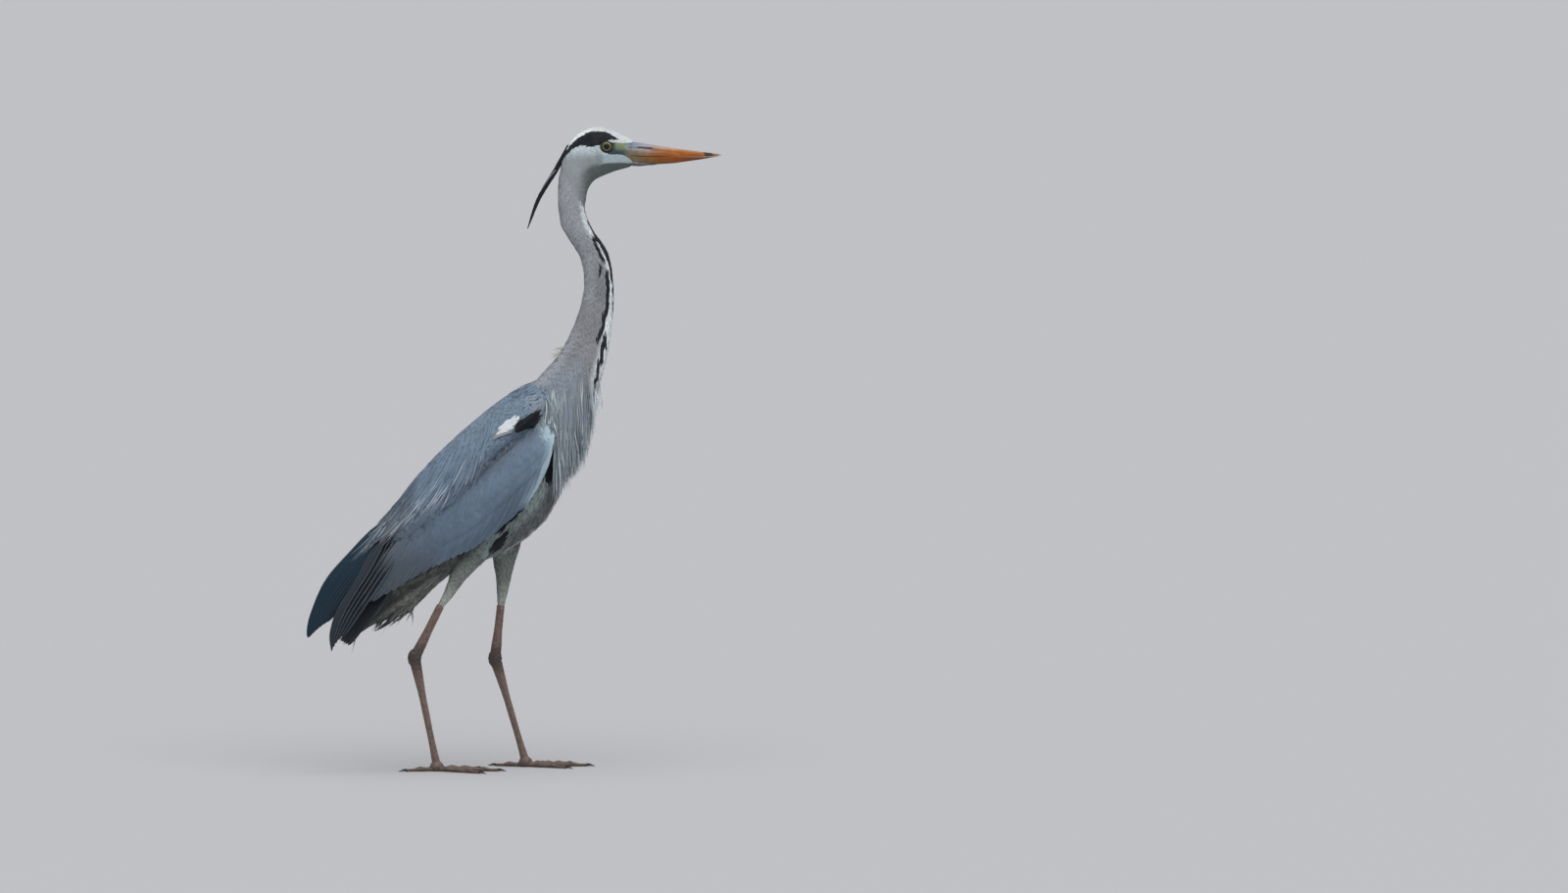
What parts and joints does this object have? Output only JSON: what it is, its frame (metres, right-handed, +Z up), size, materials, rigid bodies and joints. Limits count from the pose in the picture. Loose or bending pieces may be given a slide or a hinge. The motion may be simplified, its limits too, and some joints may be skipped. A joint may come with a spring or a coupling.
{
  "type": "grey heron",
  "caption": "Life-size still model of a grey heron standing upright in profile, neck raised, long dagger bill level, trailing black nape plume and folded wings.",
  "frame": {"origin": "on the floor below the middle of the bounding box", "axes": "+X ahead towards the bill's tip, +Y to the bird's left, +Z up"},
  "size_m": [0.575, 0.156, 0.8877],
  "materials": {
    "pale_feathers": "soft feather coat, pale grey to white, with black streaks down the front of the neck",
    "grey_feathers": "soft feather coat, blue-grey with paler plume edges",
    "slate_feathers": "stiff flight feathers, dark slate with a low sheen",
    "black_plumes": "black feather with a low sheen",
    "bill_horn": "smooth horn, orange-brown with a grey base",
    "claw_horn": "dark horn",
    "eye": "wet eye with a yellow iris and a black pupil",
    "leg_skin": "scaled bare skin, brown with a pink tint"
  },
  "bodies": {
    "root": {"bill_lower": "bill_horn", "bill_upper": "bill_horn", "breast_plumes_front": "pale_feathers", "breast_plumes_left": "pale_feathers", "breast_plumes_right": "pale_feathers", "claw_hind_left": "claw_horn", "claw_hind_right": "claw_horn", "claw_inner_left": "claw_horn", "claw_inner_right": "claw_horn", "claw_middle_left": "claw_horn", "claw_middle_right": "claw_horn", "claw_outer_left": "claw_horn", "claw_outer_right": "claw_horn", "crest_plume_left": "black_plumes", "crest_plume_right": "black_plumes", "eye_left": "eye", "eye_right": "eye", "foot_pad_left": "leg_skin", "foot_pad_right": "leg_skin", "head": "pale_feathers", "neck_lower": "pale_feathers", "neck_middle": "pale_feathers", "neck_upper": "pale_feathers", "scapulars_left": "grey_feathers", "scapulars_right": "grey_feathers", "shank_left": "leg_skin", "shank_right": "leg_skin", "tail": "slate_feathers", "tarsus_left": "leg_skin", "tarsus_right": "leg_skin", "thigh_left": "pale_feathers", "thigh_right": "pale_feathers", "toe_hind_left": "leg_skin", "toe_hind_right": "leg_skin", "toe_inner_left": "leg_skin", "toe_inner_right": "leg_skin", "toe_middle_left": "leg_skin", "toe_middle_right": "leg_skin", "toe_outer_left": "leg_skin", "toe_outer_right": "leg_skin", "trunk": "grey_feathers", "undertail_coverts": "pale_feathers", "wing_coverts_left": "grey_feathers", "wing_coverts_right": "grey_feathers", "wing_primaries_left": "slate_feathers", "wing_primaries_right": "slate_feathers", "wing_secondaries_left": "grey_feathers", "wing_secondaries_right": "grey_feathers", "wing_tertials_left": "grey_feathers", "wing_tertials_right": "grey_feathers"}
  },
  "joints": []
}
